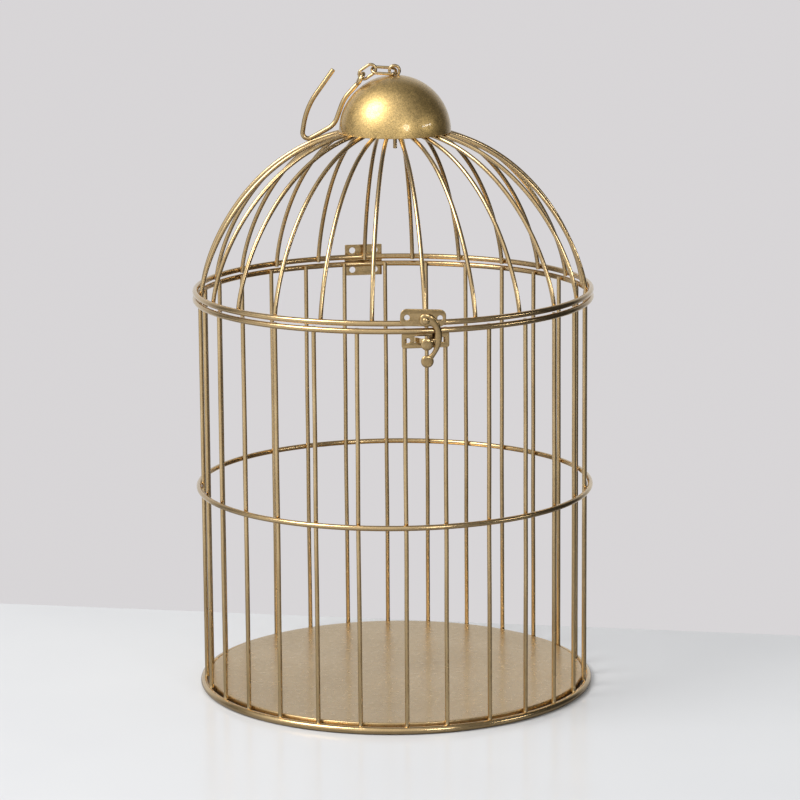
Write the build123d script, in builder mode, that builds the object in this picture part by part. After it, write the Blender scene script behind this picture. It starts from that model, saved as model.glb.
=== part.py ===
from build123d import *
import math
import os

os.makedirs("parts", exist_ok=True)

# Wedding card box made as a wire birdcage. Millimetres, +Z up, the base stands on
# z = 0 and the front latch faces -Y. Angles are measured from the latch towards +X.

# Wire stock
WIRE_R = 1.35
BASE_RING_WIRE_R = 2.3
MID_RING_WIRE_R = 1.65
RIM_RING_WIRE_R = 1.75
WELD_BITE = 0.15

# Cage body
WIRE_CIRCLE_R = 120.3
BASE_RING_R = 122.0
MID_RING_R = WIRE_CIRCLE_R + WIRE_R + MID_RING_WIRE_R - WELD_BITE
RIM_RING_R = WIRE_CIRCLE_R + WIRE_R + RIM_RING_WIRE_R - WELD_BITE
MID_RING_Z = 128.3
BODY_RING_Z = 247.9
LID_RING_Z = 252.6
BODY_WIRES = 28
LATCH_WIRE_ANGLE = 5.85
BODY_WIRE_BOTTOM = BASE_RING_WIRE_R + 2.05
BODY_WIRE_TOP = BODY_RING_Z + 1.1

# Floor pan
PAN_R = 118.4
PAN_TOP = 6.0
SHEET = 0.8

# Dome
DOME_WIRE_PAIRS = 12
DOME_FOOT_Z = LID_RING_Z - 1.2
DOME_BASE_Z = 250.4
DOME_RISE = 102.6
DOME_ROUND_R = 0.854
DOME_ROUND_Z = 1.339
HUB_R = 15.0
HUB_BOTTOM = 350.2
HUB_TOP = 354.4

# Crown. The cap and its stem sit slightly to the +X side of the dome's axis.
CROWN_X = 1.9
CAP_R = 34.7
CAP_CENTRE_Z = 350.9
CAP_RIM_Z = 350.3
STEM_R = 1.3
STEM_BOTTOM = 340.4
EYE_R = 3.1
EYE_Z = 388.4
CHAIN_WIRE_R = 0.95
LINK_R = 3.05
HOOK_WIRE_R = 1.5
HOOK_EYE_R = 3.3
CHAIN_ANGLE = -97.5

# Rear hinge
HINGE_Z = (BODY_RING_Z + LID_RING_Z) / 2
LEAF_Y = RIM_RING_R + RIM_RING_WIRE_R - 0.1
KNUCKLE_R = 1.7
PIN_R = 0.75
HINGE_Y = LEAF_Y + KNUCKLE_R
HINGE_WIDTH = 24.4
KNUCKLE_LENGTH = 8.0

# Front latch
LATCH_BACK = RIM_RING_R + RIM_RING_WIRE_R - 0.1
ARM_BACK = LATCH_BACK + SHEET + 0.1
ARM_THICK = 1.55
LATCH_TILT = -3
PIVOT = (-0.55, 254.3)
BUTTON = (-0.1, 240.7)
BUTTON_R = 3.8
CATCH_BACK = WIRE_CIRCLE_R * math.cos(math.radians(LATCH_WIRE_ANGLE)) + WIRE_R - 0.1
CATCH_THICK = 1.2
TONGUE_BACK = ARM_BACK + ARM_THICK + 0.2


def polar(angle, radius):
    """Point on a circle round the axis, the angle counted from the latch."""
    turn = math.radians(angle)
    return (radius * math.sin(turn), -radius * math.cos(turn))


def radial_plane(angle, centre_x=0):
    """Vertical plane through an axis: local x runs outwards, local y runs up."""
    out = Vector(*polar(angle, 1.0), 0)
    side = Vector(*polar(angle - 90, 1.0), 0)
    return Plane(origin=(centre_x, 0, 0), x_dir=out, z_dir=side)


def save(piece, name):
    piece.label = name
    export_step(piece, "parts/" + name + ".step")


def ring(radius, wire_radius, height):
    with BuildPart() as hoop:
        with Locations((0, 0, height)):
            Torus(radius, wire_radius)
    return hoop.part


def body_wire(angle):
    with BuildPart() as wire:
        with BuildSketch(Plane.XY.offset(BODY_WIRE_BOTTOM)):
            with Locations(polar(angle, WIRE_CIRCLE_R)):
                Circle(WIRE_R)
        extrude(amount=BODY_WIRE_TOP - BODY_WIRE_BOTTOM)
    return wire.part


def dome_point(t):
    """Point of the dome curve, from the foot (t = 0) to the top (t = 90 degrees)."""
    out = WIRE_CIRCLE_R * math.cos(t) ** DOME_ROUND_R
    up = DOME_BASE_Z + DOME_RISE * math.sin(t) ** DOME_ROUND_Z
    return (out, up)


def dome_wire(angle):
    first = math.asin(((DOME_FOOT_Z - DOME_BASE_Z) / DOME_RISE) ** (1 / DOME_ROUND_Z))
    last = math.acos(((HUB_R - 0.3) / WIRE_CIRCLE_R) ** (1 / DOME_ROUND_R))
    steps = 12
    points = [dome_point(first + (last - first) * i / steps) for i in range(steps + 1)]
    with BuildPart() as wire:
        with BuildLine(radial_plane(angle)) as path:
            Spline(*points)
        with BuildSketch(Plane(origin=path.line @ 0, z_dir=path.line % 0)):
            Circle(WIRE_R)
        sweep()
    return wire.part


def chain_link(centre, straight, tilt, roll):
    """Closed wire link. Centre is (outwards, up) in the plane the chain lies in."""
    seat = radial_plane(CHAIN_ANGLE, CROWN_X).location * Location((centre[0], centre[1], 0), (0, 0, tilt))
    plane = Plane(seat * Location((0, 0, 0), (roll, 0, 0)))
    half = straight / 2
    with BuildPart() as link:
        with BuildLine(plane) as path:
            Line((0, LINK_R), (half, LINK_R))
            CenterArc((half, 0), LINK_R, 90, -180)
            Line((half, -LINK_R), (-half, -LINK_R))
            CenterArc((-half, 0), LINK_R, -90, -180)
            Line((-half, LINK_R), (0, LINK_R))
        with BuildSketch(Plane(origin=path.line @ 0, z_dir=path.line % 0)):
            Circle(CHAIN_WIRE_R)
        sweep()
    return link.part


# ---------------------------------------------------------------- cage body
save(ring(BASE_RING_R, BASE_RING_WIRE_R, BASE_RING_WIRE_R), "base_ring")
save(ring(MID_RING_R, MID_RING_WIRE_R, MID_RING_Z), "mid_ring")
save(ring(RIM_RING_R, RIM_RING_WIRE_R, BODY_RING_Z), "body_top_ring")

# Even spacing, except the two wires behind the catch, which stand closer together.
wire_angles = [(k + 0.5) * 360 / BODY_WIRES for k in range(BODY_WIRES)]
wire_angles[0] = LATCH_WIRE_ANGLE
wire_angles[-1] = -LATCH_WIRE_ANGLE
for k, wire_angle in enumerate(wire_angles):
    save(body_wire(wire_angle), f"body_wire_{k + 1:02d}")

# Shallow pan with a turned-down rim, joined to the base ring by four weld lugs.
with BuildPart() as floor_pan:
    with BuildSketch(Plane.XZ) as pan_profile:
        with BuildLine():
            Polyline(
                (0, PAN_TOP),
                (PAN_R, PAN_TOP),
                (PAN_R, 0),
                (PAN_R - SHEET, 0),
                (PAN_R - SHEET, PAN_TOP - SHEET),
                (0, PAN_TOP - SHEET),
                close=True,
            )
        make_face()
        fillet(pan_profile.vertices().group_by(Axis.X)[1].sort_by(Axis.Y)[-1], 0.6)
        fillet(pan_profile.vertices().group_by(Axis.X)[-1].sort_by(Axis.Y)[-1], 1.4)
    revolve(axis=Axis.Z)
    for quarter in range(4):
        side = radial_plane(quarter * 90)
        with BuildSketch(Plane(origin=side.from_local_coords((PAN_R - 0.4, BASE_RING_WIRE_R, 0)), z_dir=side.x_dir)):
            Circle(1.1)
        extrude(amount=BASE_RING_R - BASE_RING_WIRE_R - PAN_R + 0.7)
save(floor_pan.part, "floor_pan")

# ---------------------------------------------------------------- dome
save(ring(RIM_RING_R, RIM_RING_WIRE_R, LID_RING_Z), "lid_ring")

for k in range(DOME_WIRE_PAIRS):
    with BuildPart() as dome_pair:
        add(dome_wire(k * 180 / DOME_WIRE_PAIRS))
        add(dome_wire(k * 180 / DOME_WIRE_PAIRS + 180))
    save(dome_pair.part, f"dome_wire_pair_{k + 1:02d}")

with BuildPart() as crown_hub:
    with Locations((0, 0, HUB_BOTTOM)):
        Cylinder(HUB_R, HUB_TOP - HUB_BOTTOM, align=(Align.CENTER, Align.CENTER, Align.MIN))
    fillet(crown_hub.edges(), 0.6)
    with Locations((CROWN_X, 0, HUB_BOTTOM)):
        Cylinder(STEM_R + 0.05, 10, align=(Align.CENTER, Align.CENTER, Align.MIN), mode=Mode.SUBTRACT)
save(crown_hub.part, "crown_hub")

# ---------------------------------------------------------------- crown
chain_plane = radial_plane(CHAIN_ANGLE, CROWN_X)

with BuildPart() as crown_stem:
    with Locations(Plane(origin=(CROWN_X, 0, EYE_Z), x_dir=chain_plane.x_dir, z_dir=chain_plane.z_dir)):
        Torus(EYE_R, CHAIN_WIRE_R)
    with Locations((CROWN_X, 0, STEM_BOTTOM)):
        Cylinder(STEM_R, EYE_Z - EYE_R - STEM_BOTTOM, align=(Align.CENTER, Align.CENTER, Align.MIN))
save(crown_stem.part, "crown_stem")

with BuildPart() as crown_nut:
    with BuildSketch(Plane(origin=(CROWN_X, 0, HUB_BOTTOM))):
        RegularPolygon(3.1, 6)
        Circle(STEM_R, mode=Mode.SUBTRACT)
    extrude(amount=-2.2)
save(crown_nut.part, "crown_nut")

with BuildPart() as crown_cap:
    with BuildSketch(Plane(origin=(CROWN_X, 0, 0), x_dir=(1, 0, 0), z_dir=(0, -1, 0))):
        with BuildLine():
            outer = CenterArc((0, CAP_CENTRE_Z), CAP_R, 0, 90)
            inner = CenterArc((0, CAP_CENTRE_Z), CAP_R - SHEET, 0, 90)
            Line(outer @ 1, inner @ 1)
            Polyline(outer @ 0, (CAP_R, CAP_RIM_Z), (CAP_R - SHEET, CAP_RIM_Z), inner @ 0)
        make_face()
    revolve(axis=Axis((CROWN_X, 0, 0), (0, 0, 1)))
    add(crown_stem.part, mode=Mode.SUBTRACT)
save(crown_cap.part, "crown_cap")

# The first link threads the stem's eye, the second threads the first.
save(chain_link((6.5, 388.5), 8.7, 4.0, 57), "chain_link_1")
save(chain_link((16.7, 387.8), 5.15, -33.9, 0), "chain_link_2")

# Hook: an eye turned across the chain, then a shank bent into a wide U.
HOOK_EYE = (20.95, 383.65)
HOOK_EYE_LEAN = -60
HOOK_CORNERS = [(22.75, 380.6), (31.4, 371.3), (37.3, 355.2), (58.2, 343.8), (54.6, 366.0), (37.7, 389.4)]
HOOK_BENDS = [25.0, 12.0, 3.6, 45.0]
with BuildPart() as hanging_hook:
    with BuildLine(chain_plane) as hook_line:
        FilletPolyline(*HOOK_CORNERS, radius=HOOK_BENDS)
    with BuildSketch(Plane(origin=hook_line.line @ 0, z_dir=hook_line.line % 0)):
        Circle(HOOK_WIRE_R)
    sweep()
    eye_seat = chain_plane.location * Location((HOOK_EYE[0], HOOK_EYE[1], 0), (0, 0, HOOK_EYE_LEAN))
    with Locations(eye_seat * Location((0, 0, 0), (90, 0, 0))):
        Torus(HOOK_EYE_R, HOOK_WIRE_R)
save(hanging_hook.part, "hanging_hook")

# ---------------------------------------------------------------- rear hinge
def knuckle(middle, length, bore):
    """Hinge barrel along X with its pin hole."""
    with BuildPart() as barrel:
        with BuildSketch(Plane(origin=(middle - length / 2, HINGE_Y, HINGE_Z), z_dir=(1, 0, 0))):
            Circle(KNUCKLE_R)
        extrude(amount=length)
    return barrel.part


with BuildPart() as hinge_leaf_upper:
    with BuildSketch(Plane.XZ.offset(-LEAF_Y)) as upper_outline:
        with Locations((0, 260.4)):
            Rectangle(HINGE_WIDTH, 260.4 - HINGE_Z - 2.1, align=(Align.CENTER, Align.MAX))
        with Locations((0, HINGE_Z)):
            Rectangle(KNUCKLE_LENGTH, 3.0, align=(Align.CENTER, Align.MIN))
        with Locations((-7.4, 256.6), (7.4, 256.6)):
            Circle(2.0, mode=Mode.SUBTRACT)
    extrude(amount=-SHEET)
    add(knuckle(0, KNUCKLE_LENGTH, PIN_R))
    with BuildSketch(Plane(origin=(-20, HINGE_Y, HINGE_Z), z_dir=(1, 0, 0))):
        Circle(PIN_R + 0.05)
    extrude(amount=40, mode=Mode.SUBTRACT)
save(hinge_leaf_upper.part, "hinge_leaf_upper")

outer_length = (HINGE_WIDTH - KNUCKLE_LENGTH) / 2 - 0.15
outer_middle = (HINGE_WIDTH - outer_length) / 2
with BuildPart() as hinge_leaf_lower:
    with BuildSketch(Plane.XZ.offset(-LEAF_Y)):
        with Locations((0, 240.0)):
            Rectangle(HINGE_WIDTH, HINGE_Z - 2.1 - 240.0, align=(Align.CENTER, Align.MIN))
        with Locations((-outer_middle, HINGE_Z), (outer_middle, HINGE_Z)):
            Rectangle(outer_length, 3.0, align=(Align.CENTER, Align.MAX))
        with Locations((-7.4, 243.7), (7.4, 243.7)):
            Circle(2.0, mode=Mode.SUBTRACT)
    extrude(amount=-SHEET)
    add(knuckle(-outer_middle, outer_length, PIN_R))
    add(knuckle(outer_middle, outer_length, PIN_R))
    with BuildSketch(Plane(origin=(-20, HINGE_Y, HINGE_Z), z_dir=(1, 0, 0))):
        Circle(PIN_R)
    extrude(amount=40, mode=Mode.SUBTRACT)
save(hinge_leaf_lower.part, "hinge_leaf_lower")

with BuildPart() as hinge_pin:
    with BuildSketch(Plane(origin=(-HINGE_WIDTH / 2 - 0.3, HINGE_Y, HINGE_Z), z_dir=(1, 0, 0))):
        Circle(PIN_R)
    extrude(amount=HINGE_WIDTH + 0.6)
save(hinge_pin.part, "hinge_pin")

# ---------------------------------------------------------------- front latch
with BuildPart() as latch_plate:
    with BuildSketch(Plane.XZ.offset(LATCH_BACK)):
        with Locations((-1.95, 256.1)):
            RectangleRounded(27.5, 10.4, 4.0, rotation=LATCH_TILT)
        with Locations((-11.6, 256.6), (8.2, 255.6)):
            Circle(1.65, mode=Mode.SUBTRACT)
        with Locations(PIVOT):
            Circle(1.2, mode=Mode.SUBTRACT)
    extrude(amount=SHEET)
save(latch_plate.part, "latch_plate")

with BuildPart() as latch_rivet:
    with BuildSketch(Plane.XZ.offset(LATCH_BACK)):
        with Locations(PIVOT):
            Circle(1.2)
    extrude(amount=SHEET + 0.1 + ARM_THICK + 0.1)
    with BuildSketch(Plane.XZ.offset(ARM_BACK + ARM_THICK + 0.1)):
        with Locations(PIVOT):
            Circle(2.15)
    extrude(amount=1.0)
    fillet(latch_rivet.faces().sort_by(Axis.Y)[0].edges(), 0.7)
save(latch_rivet.part, "latch_rivet")

# Crescent arm: round head on the rivet, bulging body, small thumb nub, disc end.
with BuildPart() as latch_arm:
    with BuildSketch(Plane.XZ.offset(ARM_BACK)):
        with BuildLine():
            outer_edge = Spline((0.6, 258.8), (3.9, 257.3), (6.9, 253.6), (8.5, 249.8), (9.2, 245.7), (8.9, 241.6), (7.5, 237.5), (5.6, 234.2), (3.75, 231.53))
            inner_low = Spline((1.25, 233.65), (2.6, 234.8), (3.9, 236.8), (4.6, 239.3), (4.7, 241.0))
            inner_high = Spline((4.7, 244.2), (5.1, 246.9), (4.4, 249.4), (2.6, 250.9), (1.0, 250.92))
            Line(outer_edge @ 1, inner_low @ 0)
            Polyline(inner_low @ 1, (3.4, 242.4), inner_high @ 0)
            Line(inner_high @ 1, outer_edge @ 0)
        make_face()
        with Locations((PIVOT[0] + 0.3, PIVOT[1] + 0.5)):
            Circle(4.1)
        with Locations((0.3, 230.0)):
            Circle(3.8)
        with Locations(PIVOT):
            Circle(1.25, mode=Mode.SUBTRACT)
    extrude(amount=ARM_THICK)
save(latch_arm.part, "latch_arm")

# Catch plate with a tongue bent forwards; the button is riveted to its tip.
with BuildPart() as catch_plate:
    with BuildSketch(Plane.XZ.offset(CATCH_BACK)):
        with Locations((0, 242.0)):
            RectangleRounded(28.6, 9.4, 1.5)
        with Locations((-10.6, 242.0), (10.6, 242.0)):
            Circle(1.5, mode=Mode.SUBTRACT)
        with Locations((-2.4, 242.6)):
            Rectangle(8.8, 3.6, mode=Mode.SUBTRACT)
    extrude(amount=CATCH_THICK)
    with BuildSketch(Plane.XY.offset(241.2)) as tongue_profile:
        with BuildLine():
            Polyline(
                (-7.6, -CATCH_BACK),
                (-6.4, -CATCH_BACK),
                (BUTTON[0] - 2.6, -TONGUE_BACK),
                (BUTTON[0], -TONGUE_BACK),
                (BUTTON[0], -TONGUE_BACK - 0.8),
                (BUTTON[0] - 3.2, -TONGUE_BACK - 0.8),
                (-7.6, -CATCH_BACK - CATCH_THICK),
                close=True,
            )
        make_face()
    extrude(amount=2.8)
    with BuildSketch(Plane.XZ.offset(TONGUE_BACK)):
        with Locations(BUTTON):
            Circle(3.0)
    extrude(amount=0.8)
save(catch_plate.part, "catch_plate")

with BuildPart() as catch_button:
    with BuildSketch(Plane.XZ.offset(TONGUE_BACK + 0.8)):
        with Locations(BUTTON):
            Circle(BUTTON_R)
    extrude(amount=1.1)
    fillet(catch_button.faces().sort_by(Axis.Y)[0].edges(), 0.8)
save(catch_button.part, "catch_button")
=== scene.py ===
import math
import random

import bmesh
import bpy
from mathutils import Matrix, Vector


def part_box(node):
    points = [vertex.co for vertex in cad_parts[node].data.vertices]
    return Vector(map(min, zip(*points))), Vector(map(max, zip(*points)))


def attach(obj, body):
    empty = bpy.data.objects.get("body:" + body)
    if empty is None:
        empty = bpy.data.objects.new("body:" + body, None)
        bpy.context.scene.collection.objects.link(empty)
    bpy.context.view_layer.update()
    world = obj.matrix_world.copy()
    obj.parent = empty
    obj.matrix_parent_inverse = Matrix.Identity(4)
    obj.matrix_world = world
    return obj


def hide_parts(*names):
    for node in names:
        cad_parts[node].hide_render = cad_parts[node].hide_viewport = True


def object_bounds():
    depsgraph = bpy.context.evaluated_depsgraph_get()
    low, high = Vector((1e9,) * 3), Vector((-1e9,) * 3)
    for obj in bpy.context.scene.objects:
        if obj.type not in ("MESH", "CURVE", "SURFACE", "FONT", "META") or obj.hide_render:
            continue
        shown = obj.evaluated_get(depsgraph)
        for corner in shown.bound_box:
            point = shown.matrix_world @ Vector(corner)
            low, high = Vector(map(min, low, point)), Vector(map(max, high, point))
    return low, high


# Wedding card box made as a wire birdcage. Sizes below are millimetres unless a
# name says otherwise; every mesh is scaled to metres as it is built. Angles are
# measured from the latch (-Y) towards +X, as in the part.
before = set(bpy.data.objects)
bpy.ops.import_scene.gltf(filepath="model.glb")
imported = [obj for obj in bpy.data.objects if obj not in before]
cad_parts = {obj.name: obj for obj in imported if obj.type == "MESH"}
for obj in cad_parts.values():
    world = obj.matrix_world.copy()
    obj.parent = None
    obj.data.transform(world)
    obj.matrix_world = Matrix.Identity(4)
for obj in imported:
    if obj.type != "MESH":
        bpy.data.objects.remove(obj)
CAD_LOW, CAD_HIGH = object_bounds()
MM = 0.001
random.seed(7)


def mid(node):
    low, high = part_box(node)
    return (low + high) / 2 / MM


def high(node):
    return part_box(node)[1] / MM


def low(node):
    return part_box(node)[0] / MM


# ------------------------------------------------------------------ dimensions
WIRE_R = 1.35
AXIS = mid("base_ring")
WIRE_CIRCLE_R = 120.3
BODY_WIRES = 28
DOME_PAIRS = 12
FOOT_FLARE = 0.25
FOOT_FLARE_HEIGHT = 2.2
RINGS = {
    "base_ring": 2.3,
    "mid_ring": 1.65,
    "body_top_ring": 1.75,
    "lid_ring": 1.75,
}
DOME_BASE_Z = 250.4
DOME_RISE = 102.6
DOME_ROUND_R = 0.854
DOME_ROUND_Z = 1.339
HUB_R = high("crown_hub").x
CROWN = Vector((mid("crown_cap").x, mid("crown_cap").y, 0))
CAP_R = high("crown_cap").x - CROWN.x
CAP_THICK = 0.8
CAP_CENTRE_Z = high("crown_cap").z - CAP_R
STEM_R = 1.3
CHAIN_WIRE_R = 0.95
EYE_R = 3.1
EYE_Z = high("crown_stem").z - EYE_R - CHAIN_WIRE_R
LINK_R = 3.05
HOOK_WIRE_R = 1.5
CHAIN_ANGLE = -97.5
HINGE_Y = mid("hinge_pin").y
HINGE_Z = mid("hinge_pin").z
PIN_R = 0.75
KNUCKLE_R = 1.7
SHEET = 0.8
LEAF_Y = low("hinge_leaf_upper").y
LATCH_BACK = high("latch_plate").y
LATCH_TILT = -3
PIVOT = (mid("latch_rivet").x, mid("latch_rivet").z)
BUTTON = (mid("catch_button").x, mid("catch_button").z)
CATCH_BACK = high("catch_plate").y
PAN_R = 118.4

# The hook and its eye in the chain's plane: distance out from the stem, then height
HOOK_EYE = (20.95, 383.65)
HOOK_EYE_R = 3.3
HOOK_EYE_LEAN = -60
HOOK_CORNERS = [(22.75, 380.6), (31.4, 371.3), (37.3, 355.2), (58.2, 343.8), (54.6, 366.0), (37.7, 389.4)]
HOOK_BENDS = [25.0, 12.0, 3.6, 45.0]

# Metres: how far behind the cage the table ends
TABLE_BEHIND = 0.141


# ------------------------------------------------------------------ mesh tools
def direction(angle):
    turn = math.radians(angle)
    return Vector((math.sin(turn), -math.cos(turn), 0))


def smooth_step(x):
    x = min(1.0, max(0.0, x))
    return x * x * (3 - 2 * x)


def curve_through(points, count):
    """Catmull-Rom curve through the points, count samples on each span."""
    pts = [Vector(p) for p in points]
    pts = [2 * pts[0] - pts[1]] + pts + [2 * pts[-1] - pts[-2]]
    out = []
    for i in range(1, len(pts) - 2):
        a, b, c, d = pts[i - 1 : i + 3]
        for k in range(count):
            t = k / count
            out.append(
                0.5 * (2 * b + (c - a) * t + (2 * a - 5 * b + 4 * c - d) * t**2 + (3 * b - 3 * c + d - a) * t**3)
            )
    return out + [pts[-2]]


def rounded_corners(corners, bends, count=14):
    """Straight runs joined by arcs, one bend radius for each inner corner."""
    pts = [Vector(p) for p in corners]
    out = [pts[0]]
    for k, bend in enumerate(bends):
        a, b, c = pts[k], pts[k + 1], pts[k + 2]
        u, v = (a - b).normalized(), (c - b).normalized()
        half = u.angle(v) / 2
        start = b + u * (bend / math.tan(half))
        centre = b + (u + v).normalized() * (bend / math.sin(half))
        first, last = start - centre, b + v * (bend / math.tan(half)) - centre
        axis = first.cross(last).normalized()
        sweep = first.angle(last)
        out += [centre + Matrix.Rotation(sweep * i / count, 3, axis) @ first for i in range(count + 1)]
    return out + [pts[-1]]


def resample(points, step):
    """The same line with stations no further apart than step."""
    out = []
    for a, b in zip(points, points[1:]):
        n = max(1, math.ceil((b - a).length / step))
        out += [a.lerp(b, k / n) for k in range(n)]
    return out + [points[-1]]


def tube(bm, points, radius, sides=16, closed=False):
    """Wire along the points. radius is a number or a function of station index."""
    size = radius if callable(radius) else (lambda k: radius)
    count = len(points)
    tangents = []
    for k in range(count):
        a = points[k - 1] if closed or k else points[0]
        b = points[(k + 1) % count] if closed or k < count - 1 else points[-1]
        tangents.append((b - a).normalized())
    normal = tangents[0].orthogonal().normalized()
    normals = [normal]
    for k in range(1, count):
        normal = (tangents[k - 1].rotation_difference(tangents[k]) @ normal).normalized()
        normals.append(normal)
    twist = 0.0
    if closed:
        carried = tangents[-1].rotation_difference(tangents[0]) @ normals[-1]
        twist = math.atan2(tangents[0].dot(carried.cross(normals[0])), carried.dot(normals[0]))
    loops = []
    for k in range(count):
        side = normals[k].cross(tangents[k])
        loop = []
        for s in range(sides):
            a = math.tau * s / sides - twist * k / count
            loop.append(bm.verts.new(points[k] + (normals[k] * math.cos(a) + side * math.sin(a)) * size(k)))
        loops.append(loop)
    pairs = list(zip(loops, loops[1:]))
    if closed:
        pairs.append((loops[-1], loops[0]))
    for a, b in pairs:
        for s in range(sides):
            t = (s + 1) % sides
            bm.faces.new((a[s], a[t], b[t], b[s]))
    if not closed:
        for k, back in ((0, -1), (count - 1, 1)):
            edge = loops[k]
            push = tangents[k] * back
            r = size(k)
            for ring, out in ((0.88, 0.10), (0.55, 0.2)):
                centre = points[k] + push * r * out
                inner = [bm.verts.new(centre + (v.co - points[k]).normalized() * r * ring) for v in loops[k]]
                for s in range(sides):
                    t = (s + 1) % sides
                    quad = (edge[s], edge[t], inner[t], inner[s])
                    bm.faces.new(quad if back > 0 else quad[::-1])
                edge = inner
            bm.faces.new(edge if back > 0 else edge[::-1])


def lathe(bm, profile, centre, segments=128, axis="Z"):
    """Turn a closed profile of (radius, height) pairs; radius 0 makes a pole."""
    rings = []
    for radius, height in profile:
        if radius < 1e-6:
            rings.append([bm.verts.new(Vector((0, 0, height)))])
            continue
        loop = []
        for s in range(segments):
            a = math.tau * s / segments
            loop.append(bm.verts.new(Vector((radius * math.sin(a), -radius * math.cos(a), height))))
        rings.append(loop)
    for a, b in zip(rings, rings[1:] + rings[:1]):
        if len(a) == 1 and len(b) == 1:
            continue
        for s in range(segments):
            t = (s + 1) % segments
            if len(a) == 1:
                bm.faces.new((a[0], b[t], b[s]))
            elif len(b) == 1:
                bm.faces.new((a[s], a[t], b[0]))
            else:
                bm.faces.new((a[s], a[t], b[t], b[s]))
    verts = [v for ring in rings for v in ring]
    turns = {
        "Z": Matrix.Identity(4),
        "-Y": Matrix.Rotation(math.radians(90), 4, "X"),
        "X": Matrix.Rotation(math.radians(90), 4, "Y"),
    }
    turn = turns[axis]
    bmesh.ops.transform(bm, matrix=Matrix.Translation(Vector(centre)) @ turn, verts=verts)


def swell(bm, centre, reach, height):
    """Weld fillet: push the surface out near a point, most at the point itself."""
    centre = Vector(centre)
    bm.normal_update()
    moves = []
    for v in bm.verts:
        d = (v.co - centre).length
        if d < reach:
            moves.append((v, v.normal * height * (1 - (d / reach) ** 2) ** 2))
    for v, move in moves:
        v.co += move


def piece(name, bm, body, material, nodes, sharp=40):
    """Finish a mesh in millimetres as a named piece that rides a body."""
    bmesh.ops.recalc_face_normals(bm, faces=bm.faces)
    # nothing sinks below the table
    for v in bm.verts:
        v.co.z = max(v.co.z, 0.0)
    bmesh.ops.scale(bm, vec=(MM, MM, MM), verts=bm.verts)
    mesh = bpy.data.meshes.new(name)
    bm.to_mesh(mesh)
    bm.free()
    obj = bpy.data.objects.new(name, mesh)
    bpy.context.scene.collection.objects.link(obj)
    mesh.shade_smooth()
    if sharp:
        mesh.set_sharp_from_angle(angle=math.radians(sharp))
    mesh.materials.append(material)
    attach(obj, body)
    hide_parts(*nodes)
    return obj


def circle(centre, radius, count=40):
    return [
        Vector((centre[0] + radius * math.cos(math.tau * k / count), centre[1] + radius * math.sin(math.tau * k / count)))
        for k in range(count)
    ]


def rounded_rectangle(centre, width, height, radius, count=8):
    out = []
    for sx, sy, first in ((1, 1, 0), (-1, 1, 90), (-1, -1, 180), (1, -1, 270)):
        cx = centre[0] + sx * (width / 2 - radius)
        cy = centre[1] + sy * (height / 2 - radius)
        for k in range(count + 1):
            a = math.radians(first + 90 * k / count)
            out.append(Vector((cx + radius * math.cos(a), cy + radius * math.sin(a))))
    return out


def stamped(bm, outlines, back, thick, edge, facing=-1):
    """Plate in the XZ plane with softened edges. back is the y of its rear face."""
    data = bpy.data.curves.new("stamp", "CURVE")
    data.dimensions = "2D"
    data.fill_mode = "BOTH"
    data.extrude = thick / 2 - edge
    data.bevel_depth = edge
    data.bevel_resolution = 3
    data.offset = -edge
    for outline in outlines:
        spline = data.splines.new("POLY")
        spline.points.add(len(outline) - 1)
        for p, q in zip(spline.points, outline):
            p.co = (q[0], q[1], 0, 1)
        spline.use_cyclic_u = True
    holder = bpy.data.objects.new("stamp", data)
    bpy.context.scene.collection.objects.link(holder)
    bpy.context.view_layer.update()
    mesh = bpy.data.meshes.new_from_object(holder.evaluated_get(bpy.context.evaluated_depsgraph_get()))
    mesh.transform(Matrix.Translation((0, back + facing * thick / 2, 0)) @ Matrix.Rotation(math.radians(90), 4, "X"))
    before = len(bm.verts)
    bm.from_mesh(mesh)
    bm.verts.ensure_lookup_table()
    bmesh.ops.remove_doubles(bm, verts=bm.verts[before:], dist=0.002)
    bpy.data.objects.remove(holder)
    bpy.data.meshes.remove(mesh)
    bpy.data.curves.remove(data)


def ribbon(bm, path, thick, first, last, across):
    """Sheet strip bent along a path. across says how (u, v, width) become a point."""
    pts = [Vector(p) for p in path]
    rows = []
    for k, p in enumerate(pts):
        a = pts[max(0, k - 1)]
        b = pts[min(len(pts) - 1, k + 1)]
        t = (b - a).normalized()
        n = Vector((-t[1], t[0])) * thick / 2
        corners = ((p + n, first), (p + n, last), (p - n, last), (p - n, first))
        rows.append([bm.verts.new(across(q, w)) for q, w in corners])
    for a, b in zip(rows, rows[1:]):
        for s in range(4):
            t = (s + 1) % 4
            bm.faces.new((a[s], a[t], b[t], b[s]))
    bm.faces.new(rows[0][::-1])
    bm.faces.new(rows[-1])


# ------------------------------------------------------------------- materials
def node(tree, kind, **values):
    made = tree.nodes.new("ShaderNode" + kind)
    for key, value in values.items():
        if key.startswith("in_"):
            made.inputs[key[3:].replace("_", " ")].default_value = value
        else:
            setattr(made, key, value)
    return made


def ramp(tree, source, stops):
    made = node(tree, "ValToRGB")
    band = made.color_ramp
    while len(band.elements) < len(stops):
        band.elements.new(0.5)
    for element, (place, colour) in zip(band.elements, stops):
        element.position = place
        element.color = (*colour, 1) if hasattr(colour, "__len__") else (colour, colour, colour, 1)
    tree.links.new(source, made.inputs["Fac"])
    return made.outputs["Color"]


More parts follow.
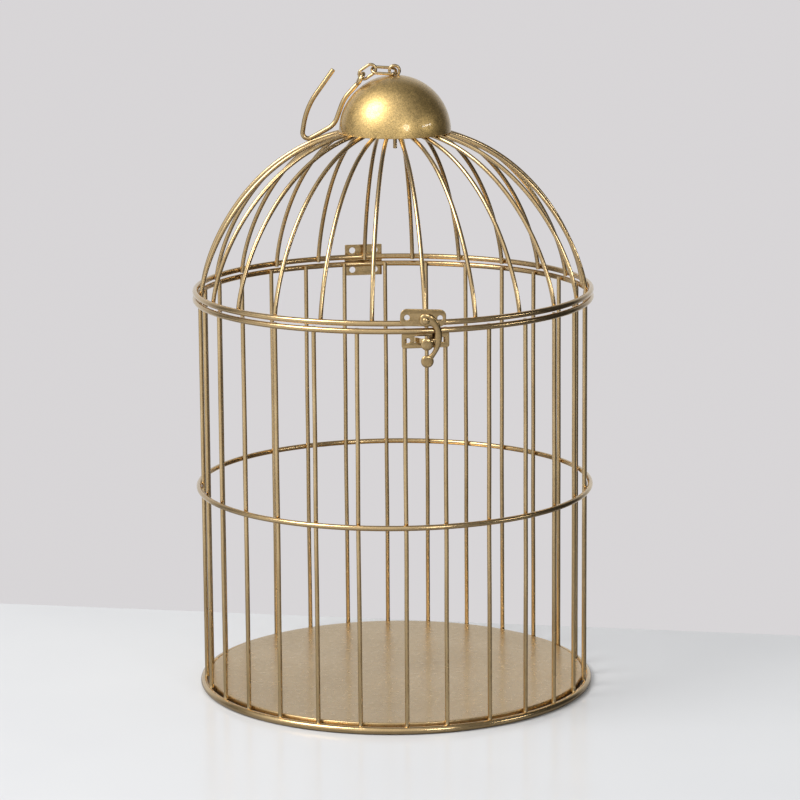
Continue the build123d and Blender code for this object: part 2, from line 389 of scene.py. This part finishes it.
def gold_paint(name, dark, base, pale, rough, flake, peel, blotch=28.0, coat=0.15):
    """Sprayed metallic gold: drifting tone, fine flake, orange peel, rubbed edges painted lighter and creases
    painted darker as painted shade.
    """
    material = bpy.data.materials.new(name)
    material.use_nodes = True
    tree = material.node_tree
    link = tree.links.new
    shader = tree.nodes["Principled BSDF"]
    shader.inputs["Metallic"].default_value = 1.0
    shader.inputs["Coat Weight"].default_value = coat
    shader.inputs["Coat Roughness"].default_value = 0.09
    place = node(tree, "TexCoord").outputs["Object"]

    drift = node(tree, "TexNoise", in_Scale=blotch, in_Detail=3.0, in_Roughness=0.55)
    link(place, drift.inputs["Vector"])
    tone = ramp(tree, drift.outputs["Fac"], ((0.3, dark), (0.52, base), (0.74, pale)))

    flakes = node(tree, "TexVoronoi", in_Scale=1900.0, in_Randomness=1.0)
    link(place, flakes.inputs["Vector"])
    grey = node(tree, "RGBToBW")
    link(flakes.outputs["Color"], grey.inputs["Color"])
    speck = ramp(tree, grey.outputs["Val"], ((0.0, 1.0 - flake), (0.5, 1.0), (1.0, 1.0 + flake)))
    tinted = node(tree, "Mix", data_type="RGBA", blend_type="MULTIPLY")
    tinted.inputs["Factor"].default_value = 1.0
    link(tone, tinted.inputs["A"])
    link(speck, tinted.inputs["B"])

    edge = node(tree, "NewGeometry")
    link(edge.outputs["Normal"], shader.inputs["Coat Normal"])
    # Painted shade: hollows and creases (low pointiness) are painted darker; sharp edges are painted lighter as
    # rubbed wear.
    crease_shade_and_edge_wear = ramp(tree, edge.outputs["Pointiness"], ((0.46, 0.72), (0.5, 1.0), (0.56, 1.12)))
    crease_shaded_and_worn = node(tree, "Mix", data_type="RGBA", blend_type="MULTIPLY")
    crease_shaded_and_worn.inputs["Factor"].default_value = 0.8
    link(tinted.outputs["Result"], crease_shaded_and_worn.inputs["A"])
    link(crease_shade_and_edge_wear, crease_shaded_and_worn.inputs["B"])
    link(crease_shaded_and_worn.outputs["Result"], shader.inputs["Base Color"])

    haze = node(tree, "TexNoise", in_Scale=310.0, in_Detail=4.0, in_Roughness=0.6)
    link(place, haze.inputs["Vector"])
    gloss = node(tree, "MapRange")
    gloss.inputs["From Min"].default_value = 0.3
    gloss.inputs["From Max"].default_value = 0.7
    gloss.inputs["To Min"].default_value = rough - 0.05
    gloss.inputs["To Max"].default_value = rough + 0.09
    link(haze.outputs["Fac"], gloss.inputs["Value"])
    link(gloss.outputs["Result"], shader.inputs["Roughness"])

    skin = node(tree, "TexNoise", in_Scale=1050.0, in_Detail=2.0, in_Roughness=0.5)
    link(place, skin.inputs["Vector"])
    coarse = node(tree, "Bump", in_Strength=peel, in_Distance=0.00012)
    link(skin.outputs["Fac"], coarse.inputs["Height"])
    fine = node(tree, "Bump", in_Strength=flake * 0.9, in_Distance=0.00005)
    link(grey.outputs["Val"], fine.inputs["Height"])
    link(coarse.outputs["Normal"], fine.inputs["Normal"])
    link(fine.outputs["Normal"], shader.inputs["Normal"])
    return material


WIRE_PAINT = gold_paint("wire_paint", (0.50, 0.35, 0.165), (0.59, 0.42, 0.21), (0.68, 0.50, 0.26), 0.19, 0.10, 0.07, coat=0.5)
RING_PAINT = gold_paint("ring_paint", (0.47, 0.325, 0.15), (0.56, 0.395, 0.195), (0.65, 0.475, 0.245), 0.18, 0.10, 0.07, coat=0.5)
PAN_PAINT = gold_paint("pan_paint", (0.53, 0.38, 0.19), (0.58, 0.42, 0.215), (0.63, 0.46, 0.245), 0.29, 0.14, 0.10, 16.0, coat=0.3)
CAP_PAINT = gold_paint("cap_paint", (0.58, 0.40, 0.15), (0.645, 0.45, 0.18), (0.71, 0.51, 0.22), 0.41, 0.36, 0.10, coat=0.55)
CROWN_PAINT = gold_paint("crown_paint", (0.43, 0.305, 0.145), (0.51, 0.37, 0.185), (0.60, 0.45, 0.235), 0.22, 0.10, 0.08, coat=0.5)
HARDWARE_PAINT = gold_paint("hardware_paint", (0.36, 0.24, 0.10), (0.46, 0.315, 0.14), (0.56, 0.40, 0.19), 0.20, 0.12, 0.10, coat=0.6)


# --------------------------------------------------------------- cage and dome
def ring_points(radius, height, count):
    return [direction(360 * k / count) * radius + Vector((0, 0, height)) for k in range(count)]


def build_ring(name, seam_angle):
    """Hoop bent from rod, butt-welded at one place."""
    wire_r = RINGS[name]
    radius = high(name).x - wire_r
    height = mid(name).z
    bm = bmesh.new()
    tube(bm, ring_points(radius, height, 300), wire_r, sides=24, closed=True)
    seam = direction(seam_angle) * radius + Vector((0, 0, height))
    swell(bm, seam, wire_r * 2.1, -0.16)
    swell(bm, seam + Vector((0, 0, wire_r * 0.4)), wire_r * 1.3, 0.2)
    body = "lid" if name == "lid_ring" else "cage_body"
    return piece("hoop_" + name, bm, body, RING_PAINT, [name], sharp=0)


def build_body_wire(index):
    name = f"body_wire_{index:02d}"
    centre = mid(name)
    foot, top = low(name).z, high(name).z
    out = Vector((centre.x, centre.y, 0)).normalized()
    side = Vector((-out.y, out.x, 0))
    rng = random.Random(100 + index)
    sway, phase = rng.uniform(-0.28, 0.28), rng.uniform(0, math.tau)
    count = 74
    points = []
    for k in range(count + 1):
        t = k / count
        bow = math.sin(math.pi * t) * sway + 0.09 * math.sin(math.tau * 2.3 * t + phase) * math.sin(math.pi * t)
        points.append(Vector((centre.x, centre.y, foot + (top - foot) * t)) + side * bow)
    points = resample(points[:2], 0.45)[:-1] + points[1:]

    def flare(k):
        return WIRE_R + FOOT_FLARE * max(0.0, 1 - (points[k].z - foot) / FOOT_FLARE_HEIGHT) ** 2

    bm = bmesh.new()
    tube(bm, points, flare, sides=18)
    for ring in ("mid_ring", "body_top_ring"):
        height = mid(ring).z
        touch = out * (WIRE_CIRCLE_R + WIRE_R) + Vector((0, 0, height))
        weld_crossing(bm, touch)
    return piece(f"upright_{index:02d}", bm, "cage_body", WIRE_PAINT, [name])


def weld_crossing(bm, touch):
    """Weld at a crossing: densify the wire there, then raise a fillet."""
    near = []
    for edge in bm.edges:
        a, b = edge.verts[0].co, edge.verts[1].co
        if ((a + b) / 2 - touch).length < 5.0 and abs((a - b).normalized().z) > 0.7:
            near.append(edge)
    if near:
        bmesh.ops.subdivide_edges(bm, edges=near, cuts=5, use_grid_fill=True)
    swell(bm, touch, 2.3, 0.42)


def dome_point(t):
    return (WIRE_CIRCLE_R * math.cos(t) ** DOME_ROUND_R, DOME_BASE_Z + DOME_RISE * math.sin(t) ** DOME_ROUND_Z)


def build_dome_pair(index):
    name = f"dome_wire_pair_{index:02d}"
    foot_z = low(name).z
    first = math.asin(((foot_z - DOME_BASE_Z) / DOME_RISE) ** (1 / DOME_ROUND_Z))
    last = math.acos(((HUB_R - 0.3) / WIRE_CIRCLE_R) ** (1 / DOME_ROUND_R))
    bm = bmesh.new()
    for half in range(2):
        angle = (index - 1) * 180 / DOME_PAIRS + 180 * half
        out = direction(angle)
        side = Vector((-out.y, out.x, 0))
        rng = random.Random(300 + index * 2 + half)
        sway = rng.uniform(-0.3, 0.3)
        line = []
        for k in range(61):
            r, z = dome_point(first + (last - first) * k / 60)
            line.append(out * r + Vector((0, 0, z)) + side * sway * math.sin(math.pi * k / 60))
        line = resample(line[:3], 0.5)[:-1] + line[2:]
        tube(bm, line, WIRE_R, sides=18)
        swell(bm, out * (WIRE_CIRCLE_R + WIRE_R) + Vector((0, 0, mid("lid_ring").z)), 2.3, 0.4)
        swell(bm, out * (HUB_R + 0.3) + Vector((0, 0, dome_point(last)[1] + 1.0)), 2.4, 0.35)
    return piece(f"dome_wires_{index:02d}", bm, "lid", WIRE_PAINT, [name])


def build_pan():
    """Pressed tray, slightly dished, with a turned-down rim and four weld lugs."""
    edge, top, bend = PAN_R, high("floor_pan").z, 0.7
    profile = [(0.0, top)]
    profile += [(2.0 + (edge - 3.4) * k / 40, top) for k in range(1, 40)]
    for k in range(9):
        a = math.pi / 2 * k / 8
        profile.append((edge - bend + bend * math.sin(a), top - bend + bend * math.cos(a)))
    inside = edge - SHEET
    profile += [(edge, top - 2.4), (edge, 0.25), (edge - 0.12, 0.0)]
    profile += [(inside + 0.12, 0.0), (inside, 0.25), (inside, top - SHEET - 0.8)]
    for k in range(1, 6):
        a = math.pi / 2 * k / 5
        profile.append((inside - 0.6 + 0.6 * math.cos(a), top - SHEET - 0.6 + 0.6 * math.sin(a)))
    profile += [(edge * k / 12, top - SHEET) for k in range(11, -1, -1)]
    bm = bmesh.new()
    lathe(bm, profile, (0, 0, 0), segments=192)
    for v in bm.verts:
        if v.co.z > 4.9:
            reach = math.hypot(v.co.x, v.co.y) / edge
            ease = smooth_step((1 - reach) / 0.25)
            wave = math.sin(v.co.x / 31 + 0.8) * math.cos(v.co.y / 27 - 0.4) + 0.5 * math.sin((v.co.x + v.co.y) / 17)
            v.co.z -= (0.14 + 0.12 * wave) * ease
    for quarter in range(4):
        out = direction(quarter * 90)
        height = Vector((0, 0, RINGS["base_ring"]))
        ends = [out * (edge - 0.4) + height, out * (edge + 0.5) + height, out * (edge + 1.6) + height]
        tube(bm, resample(ends, 0.3), 1.1, sides=16)
    return piece("floor_tray", bm, "cage_body", PAN_PAINT, ["floor_pan"], sharp=50)


# ------------------------------------------------------------------------ crown
def arc_profile(centre, radius, first, last, count):
    out = []
    for k in range(count + 1):
        a = math.radians(first + (last - first) * k / count)
        out.append((centre[0] + radius * math.cos(a), centre[1] + radius * math.sin(a)))
    return out


def build_hub():
    bottom, top = low("crown_hub").z, high("crown_hub").z
    soft = 0.6
    profile = [(STEM_R + 0.05, bottom + 0.2), (STEM_R + 0.25, bottom)]
    profile += arc_profile((HUB_R - soft, bottom + soft), soft, -90, 0, 6)
    profile += arc_profile((HUB_R - soft, top - soft), soft, 0, 90, 6)
    profile += [(STEM_R + 0.25, top), (STEM_R + 0.05, top - 0.2)]
    bm = bmesh.new()
    lathe(bm, profile, (0, 0, 0), segments=96)
    for v in bm.verts:
        v.co += CROWN * smooth_step((HUB_R - 2 - math.hypot(v.co.x, v.co.y)) / (HUB_R - 5))
    return piece("crown_disc", bm, "lid", CROWN_PAINT, ["crown_hub"])


def build_cap():
    rim = low("crown_cap").z
    inner = CAP_R - CAP_THICK
    profile = arc_profile((0, CAP_CENTRE_Z), CAP_R, 88.0, 0, 44)
    profile[0] = (STEM_R, CAP_CENTRE_Z + math.sqrt(CAP_R**2 - STEM_R**2))
    profile += arc_profile((CAP_R - CAP_THICK / 2, rim + CAP_THICK / 2), CAP_THICK / 2, 0, -180, 8)
    profile += arc_profile((0, CAP_CENTRE_Z), inner, 0, 87.9, 40)
    profile[-1] = (STEM_R, CAP_CENTRE_Z + math.sqrt(inner**2 - STEM_R**2))
    bm = bmesh.new()
    lathe(bm, profile, CROWN, segments=160)
    swell(bm, CROWN + Vector((0, 0, high("crown_cap").z - 0.1)), 4.2, -0.35)
    drip = CROWN + direction(-29) * (CAP_R - 0.35) + Vector((0, 0, rim + 2.6))
    swell(bm, drip, 2.4, 0.8)
    swell(bm, drip - Vector((0, 0, 2.0)), 1.7, 0.6)
    return piece("crown_dome", bm, "lid", CAP_PAINT, ["crown_cap"], sharp=60)


def chain_frame():
    return direction(CHAIN_ANGLE), Vector((0, 0, 1)), direction(CHAIN_ANGLE - 90)


def build_stem():
    """Threaded rod with its top formed into an eye."""
    out, up, _ = chain_frame()
    bottom = low("crown_stem").z
    top = EYE_Z - EYE_R
    bm = bmesh.new()
    pitch = 0.7
    rod = []
    z = bottom
    while z < top + 0.2:
        rod.append(CROWN + Vector((0, 0, z)))
        z += 0.14 if z < bottom + 13 else 0.6
    tube(bm, rod, STEM_R, sides=24)
    for v in bm.verts:
        depth = smooth_step((bottom + 12.5 - v.co.z) / 1.5) * smooth_step((v.co.z - bottom) / 0.6)
        arm = Vector((v.co.x, v.co.y, 0)) - CROWN
        if depth > 0 and arm.length > 0.9:
            turn = math.atan2(arm.y, arm.x) / math.tau
            groove = 0.5 - 0.5 * math.cos(math.tau * (v.co.z / pitch - turn))
            v.co -= arm * 0.11 * groove * depth
    eye = []
    for k in range(56):
        a = math.tau * k / 56
        eye.append(CROWN + out * EYE_R * math.cos(a) + up * (EYE_Z + EYE_R * math.sin(a)))
    tube(bm, eye, CHAIN_WIRE_R, sides=18, closed=True)
    swell(bm, CROWN + Vector((0, 0, top + 0.3)), 2.2, 0.22)
    return piece("crown_eye_stem", bm, "lid", CROWN_PAINT, ["crown_stem"])


def build_nut():
    bottom, top = low("crown_nut").z, high("crown_nut").z
    radius = 3.1
    bm = bmesh.new()
    rows = []
    for height in (bottom, bottom + 0.3, top - 0.3, top):
        rows.append([])
        for k in range(48):
            a = math.tau * k / 48
            flat = radius * math.cos(math.pi / 6) / math.cos((a % (math.pi / 3)) - math.pi / 6)
            if height in (bottom, top):
                flat = min(flat, radius * 0.9)
            rows[-1].append(bm.verts.new(CROWN + Vector((flat * math.cos(a), flat * math.sin(a), height))))
    for height in (top, bottom):
        rows.append([])
        for k in range(48):
            a = math.tau * k / 48
            rows[-1].append(bm.verts.new(CROWN + Vector((STEM_R * math.cos(a), STEM_R * math.sin(a), height))))
    for a, b in zip(rows, rows[1:] + rows[:1]):
        for s in range(48):
            t = (s + 1) % 48
            bm.faces.new((a[s], a[t], b[t], b[s]))
    return piece("crown_hex_nut", bm, "lid", CROWN_PAINT, ["crown_nut"], sharp=25)


def build_link(name, centre, straight, tilt, roll, body):
    """Closed link with a soft weld at the middle of one side."""
    out, up, side = chain_frame()
    tilt, roll = math.radians(tilt), math.radians(roll)
    along = out * math.cos(tilt) + up * math.sin(tilt)
    across = up * math.cos(tilt) - out * math.sin(tilt)
    across = across * math.cos(roll) + side * math.sin(roll)
    seat = CROWN + out * centre[0] + up * centre[1]
    half = straight / 2
    flat = [(-half + straight * k / 8, LINK_R) for k in range(8)]
    flat += [(half + LINK_R * math.sin(math.pi * k / 20), LINK_R * math.cos(math.pi * k / 20)) for k in range(20)]
    flat += [(half - straight * k / 8, -LINK_R) for k in range(8)]
    flat += [(-half - LINK_R * math.sin(math.pi * k / 20), -LINK_R * math.cos(math.pi * k / 20)) for k in range(20)]
    bm = bmesh.new()
    tube(bm, [seat + along * x + across * y for x, y in flat], CHAIN_WIRE_R, sides=18, closed=True)
    swell(bm, seat - across * (LINK_R + CHAIN_WIRE_R * 0.6), 1.5, 0.09)
    return piece(name.replace("chain_", "hanger_"), bm, body, CROWN_PAINT, [name], sharp=0)


def build_hook():
    out, up, side = chain_frame()
    flat = rounded_corners([(x, y, 0) for x, y in HOOK_CORNERS], HOOK_BENDS)
    line = resample([CROWN + out * p.x + up * p.y for p in flat], 1.4)
    bm = bmesh.new()
    tube(bm, line, HOOK_WIRE_R, sides=20)
    lean = math.radians(HOOK_EYE_LEAN)
    along = out * math.cos(lean) + up * math.sin(lean)
    seat = CROWN + out * HOOK_EYE[0] + up * HOOK_EYE[1]
    loop = []
    for k in range(60):
        a = math.tau * k / 60
        loop.append(seat + along * HOOK_EYE_R * math.cos(a) + side * HOOK_EYE_R * math.sin(a))
    tube(bm, loop, HOOK_WIRE_R, sides=20, closed=True)
    swell(bm, line[0], 2.6, 0.25)
    return piece("hook_wire", bm, "hook", CROWN_PAINT, ["hanging_hook"])


# ------------------------------------------------------------------ rear hinge
def across_x(q, w):
    """Ribbon seat for parts rolled round the X axis: (u, v, width) is (y, z, x)."""
    return Vector((w, q[0], q[1]))


def rolled_knuckle(bm, first, last, start_z, down):
    """The leaf's own sheet carried on and rolled round the pin."""
    radius = KNUCKLE_R - SHEET / 2
    sign = -1 if down else 1
    path = [(LEAF_Y + SHEET / 2, start_z + sign * 0.2 * k) for k in range(3)]
    path.append((HINGE_Y - radius, HINGE_Z - sign * 0.35))
    for k in range(25):
        a = math.radians(180 + 290 * k / 24)
        path.append((HINGE_Y + radius * math.cos(a), HINGE_Z - sign * radius * math.sin(a)))
    ribbon(bm, path, SHEET - 0.02, first, last, across_x)


def build_leaf(name, body, holes, knuckles, down):
    """Stamped leaf with two screw holes and its rolled knuckles."""
    low_z, high_z = low(name).z, high(name).z
    width = high(name).x - low(name).x
    bm = bmesh.new()
    if down:
        first, last = HINGE_Z + 2.1, high_z
    else:
        first, last = low_z, HINGE_Z - 2.1
    sheet = rounded_rectangle((0, (first + last) / 2), width, last - first, 0.35, 4)
    stamped(bm, [sheet] + [circle(h, 2.0, 36) for h in holes], LEAF_Y, SHEET, 0.13, facing=1)
    for a, b in knuckles:
        rolled_knuckle(bm, a, b, first + 0.35 if down else last - 0.35, down)
    return piece(name.replace("hinge_", "rear_"), bm, body, HARDWARE_PAINT, [name], sharp=32)


def build_hinge():
    half = high("hinge_leaf_lower").x
    middle = 4.0
    build_leaf("hinge_leaf_upper", "lid", [(-7.4, 256.6), (7.4, 256.6)], [(-middle, middle)], True)
    outer = [(-half, -middle - 0.15), (middle + 0.15, half)]
    build_leaf("hinge_leaf_lower", "cage_body", [(-7.4, 243.7), (7.4, 243.7)], outer, False)
    ends = low("hinge_pin").x, high("hinge_pin").x
    bm = bmesh.new()
    profile = [(0, ends[0]), (PIN_R * 0.7, ends[0] + 0.02), (PIN_R, ends[0] + 0.25)]
    profile += [(PIN_R, ends[1] - 0.25), (PIN_R * 0.7, ends[1] - 0.02), (0, ends[1])]
    lathe(bm, profile, (0, HINGE_Y, HINGE_Z), segments=32, axis="X")
    piece("rear_pin", bm, "cage_body", HARDWARE_PAINT, ["hinge_pin"], sharp=50)


# ----------------------------------------------------------------- front latch
def build_latch_plate():
    bm = bmesh.new()
    centre = Vector((-1.95, 256.1))
    turn = Matrix.Rotation(math.radians(LATCH_TILT), 2)
    edge = [centre + turn @ p for p in rounded_rectangle((0, 0), 27.5, 10.4, 4.0)]
    holes = [circle((-11.6, 256.6), 1.65), circle((8.2, 255.6), 1.65), circle(PIVOT, 1.2)]
    stamped(bm, [edge] + holes, LATCH_BACK, SHEET, 0.34)
    piece("latch_backplate", bm, "lid", HARDWARE_PAINT, ["latch_plate"], sharp=32)


def build_rivet():
    front = low("latch_rivet").y
    head = front + 1.0
    profile = [(0, -front), (0.9, -front - 0.04), (1.5, -front - 0.2)]
    profile += [(1.95, -front - 0.5), (2.15, -front - 0.8), (2.15, -head)]
    profile += [(1.2, -head), (1.2, -LATCH_BACK), (0, -LATCH_BACK)]
    bm = bmesh.new()
    lathe(bm, profile, (PIVOT[0], 0, PIVOT[1]), segments=40, axis="-Y")
    piece("latch_pivot_rivet", bm, "lid", HARDWARE_PAINT, ["latch_rivet"], sharp=50)


def evenly(line, count):
    """count stations spread evenly along a line."""
    fine = resample([Vector(p) for p in line], 0.04)
    return [fine[round(k * (len(fine) - 1) / (count - 1))] for k in range(count)]


def convex_disc(bm, centre, radius, back, thick):
    """Round boss with a crowned face, cast in one with the arm."""
    levels = [(1.0, 0.0), (1.0, 0.42), (0.975, 0.62), (0.90, 0.80), (0.76, 0.92), (0.55, 0.985)]
    profile = [(radius * r, thick * h - back) for r, h in levels]
    profile += [(0, thick - back), (0, -back)]
    lathe(bm, profile, (centre[0], 0, centre[1]), segments=64, axis="-Y")


def convex_strip(bm, outer, inner, back, thick):
    """Crowned band between two edges that have the same number of stations."""
    section = [(0, 0), (0, 0.42), (0.04, 0.66), (0.13, 0.84), (0.28, 0.96), (0.5, 1.0)]
    section += [(0.72, 0.96), (0.87, 0.84), (0.96, 0.66), (1, 0.42), (1, 0)]
    rows = []
    for o, i in zip(outer, inner):
        cut = [(o.lerp(i, across), back - thick * rise) for across, rise in section]
        rows.append([bm.verts.new((p.x, y, p.y)) for p, y in cut])
    for first, second in zip(rows, rows[1:]):
        for s in range(len(section)):
            t = (s + 1) % len(section)
            bm.faces.new((first[s], first[t], second[t], second[s]))
    bm.faces.new(rows[0][::-1])
    bm.faces.new(rows[-1])


def build_arm():
    """Cast crescent: crowned all over, with a small tooth behind the button. It is
    solid under the rivet's head, where the part has a bore."""
    back = high("latch_arm").y
    thick = back - low("latch_arm").y
    outer = [(0.6, 258.8), (3.9, 257.3), (6.9, 253.6), (8.5, 249.8), (9.2, 245.7)]
    outer += [(8.9, 241.6), (7.5, 237.5), (5.6, 234.2), (3.75, 231.53)]
    inner = [(1.0, 250.92), (2.6, 250.9), (4.4, 249.4), (5.1, 246.9), (4.7, 244.2), (4.55, 242.6)]
    inner += [(4.7, 241.0), (4.6, 239.3), (3.9, 236.8), (2.6, 234.8), (1.25, 233.65)]
    bm = bmesh.new()
    convex_strip(bm, evenly(curve_through(outer, 8), 72), evenly(curve_through(inner, 8), 72), back, thick)
    convex_disc(bm, (PIVOT[0] + 0.3, PIVOT[1] + 0.5), 4.1, back, thick)
    convex_disc(bm, (0.3, 230.0), 3.8, back, thick)
    convex_disc(bm, (4.5, 242.5), 1.1, back, thick * 0.9)
    piece("latch_crescent", bm, "latch_swing", HARDWARE_PAINT, ["latch_arm"], sharp=40)


def build_catch():
    front = low("catch_plate").y
    thick = 1.2
    tongue_back = front + 0.8
    bm = bmesh.new()
    edge = rounded_rectangle((0, 242.0), 28.6, 9.4, 1.5, 6)
    holes = [circle((-10.6, 242.0), 1.5), circle((10.6, 242.0), 1.5)]
    holes.append(rounded_rectangle((-2.4, 242.6), 8.8, 3.6, 0.5, 4))
    stamped(bm, [edge] + holes, CATCH_BACK, thick, 0.36)
    path = curve_through(
        [
            (-7.4, CATCH_BACK - 0.7),
            (-6.6, CATCH_BACK - 0.95),
            (-5.4, CATCH_BACK - 2.4),
            (-4.1, tongue_back + 1.1),
            (-2.8, tongue_back - 0.1),
            (-1.4, tongue_back - 0.4),
            (-0.1, tongue_back - 0.4),
        ],
        6,
    )
    ribbon(bm, [(p[0], p[1]) for p in path], 0.78, 241.2, 244.0, lambda q, w: Vector((q[0], q[1], w)))
    stamped(bm, [circle(BUTTON, 3.0, 40)], tongue_back, 0.8, 0.15)
    piece("catch_backplate", bm, "cage_body", HARDWARE_PAINT, ["catch_plate"], sharp=32)

    face, rear = low("catch_button").y, high("catch_button").y
    bm = bmesh.new()
    profile = [(0, -face), (1.6, -face - 0.03), (2.7, -face - 0.16), (3.4, -face - 0.42)]
    profile += [(3.75, -face - 0.8), (3.8, -rear), (0, -rear)]
    lathe(bm, profile, (BUTTON[0], 0, BUTTON[1]), segments=56, axis="-Y")
    piece("catch_round_button", bm, "cage_body", HARDWARE_PAINT, ["catch_button"], sharp=50)


build_ring("base_ring", 7.0)
build_ring("mid_ring", -167.0)
build_ring("body_top_ring", -165.0)
build_ring("lid_ring", 118.0)
for wire_index in range(1, BODY_WIRES + 1):
    build_body_wire(wire_index)
for pair_index in range(1, DOME_PAIRS + 1):
    build_dome_pair(pair_index)
build_pan()
build_hub()
build_cap()
build_stem()
build_nut()
build_link("chain_link_1", (6.5, 388.5), 8.7, 4.0, 57, "link_one")
build_link("chain_link_2", (16.7, 387.8), 5.15, -33.9, 0, "link_two")
build_hook()
build_hinge()
build_latch_plate()
build_rivet()
build_arm()
build_catch()


# ------------------------------------------------------- floor, light and camera
def floor_material():
    """Pale table. For glossy rays its colour is painted darker away from the key light's side, so its reflection in
    the metal is brightest on that side: painted shade in the reflection.
    """
    material = bpy.data.materials.new("pale_table")
    material.use_nodes = True
    tree = material.node_tree
    link = tree.links.new
    shader = tree.nodes["Principled BSDF"]
    place = node(tree, "TexCoord").outputs["Object"]
    soft = node(tree, "TexNoise", in_Scale=6.0, in_Detail=2.0, in_Roughness=0.5)
    link(place, soft.inputs["Vector"])
    tone = ramp(tree, soft.outputs["Fac"], ((0.3, (0.775, 0.79, 0.82)), (0.7, (0.805, 0.82, 0.845))))
    # Painted shade in reflections: for glossy rays only, the table is darkened by direction, least towards the key
    # light.
    toward = node(tree, "VectorMath", operation="DOT_PRODUCT")
    link(place, toward.inputs[0])
    toward.inputs[1].default_value = (-0.75, -0.66, 0)
    depth = node(tree, "MapRange")
    depth.inputs["From Min"].default_value = -1.0
    depth.inputs["From Max"].default_value = 1.0
    link(toward.outputs["Value"], depth.inputs["Value"])
    key_side_reflection_shade = ramp(tree, depth.outputs["Result"], ((0.1, 0.12), (0.4, 0.20), (0.6, 0.48), (0.8, 0.95)))
    reflection_shaded_tone = node(tree, "Mix", data_type="RGBA", blend_type="MULTIPLY")
    rays = node(tree, "LightPath")
    link(rays.outputs["Is Glossy Ray"], reflection_shaded_tone.inputs["Factor"])
    link(tone, reflection_shaded_tone.inputs["A"])
    link(key_side_reflection_shade, reflection_shaded_tone.inputs["B"])
    link(reflection_shaded_tone.outputs["Result"], shader.inputs["Base Color"])
    shader.inputs["Roughness"].default_value = 0.16
    shader.inputs["Specular IOR Level"].default_value = 0.15
    return material


def build_floor():
    """Table top that ends a little way behind the cage, seen slightly askew."""
    bm = bmesh.new()
    bmesh.ops.create_grid(bm, x_segments=8, y_segments=8, size=4.0)
    askew = Matrix.Rotation(math.radians(-19.4), 4, "Z")
    bmesh.ops.transform(bm, matrix=askew @ Matrix.Translation((0, TABLE_BEHIND - 4.0, 0)), verts=bm.verts)
    mesh = bpy.data.meshes.new("floor")
    bm.to_mesh(mesh)
    bm.free()
    floor = bpy.data.objects.new("floor", mesh)
    bpy.context.scene.collection.objects.link(floor)
    floor.location.z = CAD_LOW.z - 0.0001
    mesh.materials.append(floor_material())


def lamp_disc(name, position, target, width, height, power, colour=(1, 1, 1)):
    data = bpy.data.lights.new(name, "AREA")
    data.shape = "ELLIPSE"
    data.size, data.size_y = width, height
    data.energy = power
    data.color = colour
    lamp = bpy.data.objects.new(name, data)
    bpy.context.scene.collection.objects.link(lamp)
    lamp.location = position
    lamp.rotation_mode = "QUATERNION"
    lamp.rotation_quaternion = (Vector(target) - Vector(position)).to_track_quat("-Z", "Y")


def build_world():
    """Studio: pale wall in view, soft light from the front left and overhead."""
    world = bpy.data.worlds.new("studio")
    bpy.context.scene.world = world
    world.use_nodes = True
    tree = world.node_tree
    link = tree.links.new
    back = tree.nodes["Background"]
    aim = node(tree, "TexCoord").outputs["Generated"]
    toward = node(tree, "VectorMath", operation="DOT_PRODUCT")
    link(aim, toward.inputs[0])
    toward.inputs[1].default_value = (-0.62, -0.55, 0.56)
    lift = node(tree, "MapRange")
    lift.inputs["From Min"].default_value = -1.0
    lift.inputs["From Max"].default_value = 1.0
    link(toward.outputs["Value"], lift.inputs["Value"])
    glow = ramp(tree, lift.outputs["Result"], ((0.0, 0.03), (0.45, 0.06), (0.72, 0.24), (0.92, 0.95)))
    split = node(tree, "SeparateXYZ")
    link(aim, split.inputs["Vector"])
    wall = ramp(tree, split.outputs["Y"], ((0.45, 0.0), (0.85, 0.72)))
    both = node(tree, "Mix", data_type="RGBA", blend_type="LIGHTEN")
    both.inputs["Factor"].default_value = 1.0
    link(glow, both.inputs["A"])
    link(wall, both.inputs["B"])
    link(both.outputs["Result"], back.inputs["Color"])
    back.inputs["Strength"].default_value = 1.0
    pale = node(tree, "Background")
    pale.inputs["Color"].default_value = (0.686, 0.668, 0.68, 1)
    rays = node(tree, "LightPath")
    mix = node(tree, "MixShader")
    link(rays.outputs["Is Camera Ray"], mix.inputs["Fac"])
    link(back.outputs["Background"], mix.inputs[1])
    link(pale.outputs["Background"], mix.inputs[2])
    link(mix.outputs["Shader"], tree.nodes["World Output"].inputs["Surface"])


def build_camera():
    """The photograph's viewpoint, from the front, slightly left and above."""
    data = bpy.data.cameras.new("camera")
    data.sensor_width = 36.0
    data.lens = 159.15
    camera = bpy.data.objects.new("camera", data)
    bpy.context.scene.collection.objects.link(camera)
    right = Vector((0.9874, -0.1584, -0.0075)).normalized()
    forward = Vector((0.1536, 0.9673, -0.2018))
    forward = (forward - right * forward.dot(right)).normalized()
    up = right.cross(forward)
    turn = Matrix((right, up, -forward)).transposed()
    stand = Vector((-337.4, -2148.0, 629.2)) + Vector((AXIS.x, AXIS.y, 0))
    camera.matrix_world = Matrix.Translation(stand * MM) @ turn.to_4x4()
    data.clip_start, data.clip_end = 0.05, 60.0
    bpy.context.scene.camera = camera


build_floor()
build_world()
build_camera()
middle = (CAD_LOW + CAD_HIGH) / 2
lamp_disc("key", middle + Vector((-0.64, -0.26, 0.73)) * 2.2, middle, 1.35, 1.35, 34, (1.0, 0.985, 0.96))
lamp_disc("lamp", middle + Vector((0.25, -0.92, 0.29)) * 2.2, middle, 0.52, 0.52, 6.0)
lamp_disc("window", middle + Vector((0.84, -0.46, 0.27)) * 2.2, middle, 0.9, 0.12, 4.0)
bpy.context.scene.view_settings.view_transform = "Standard"
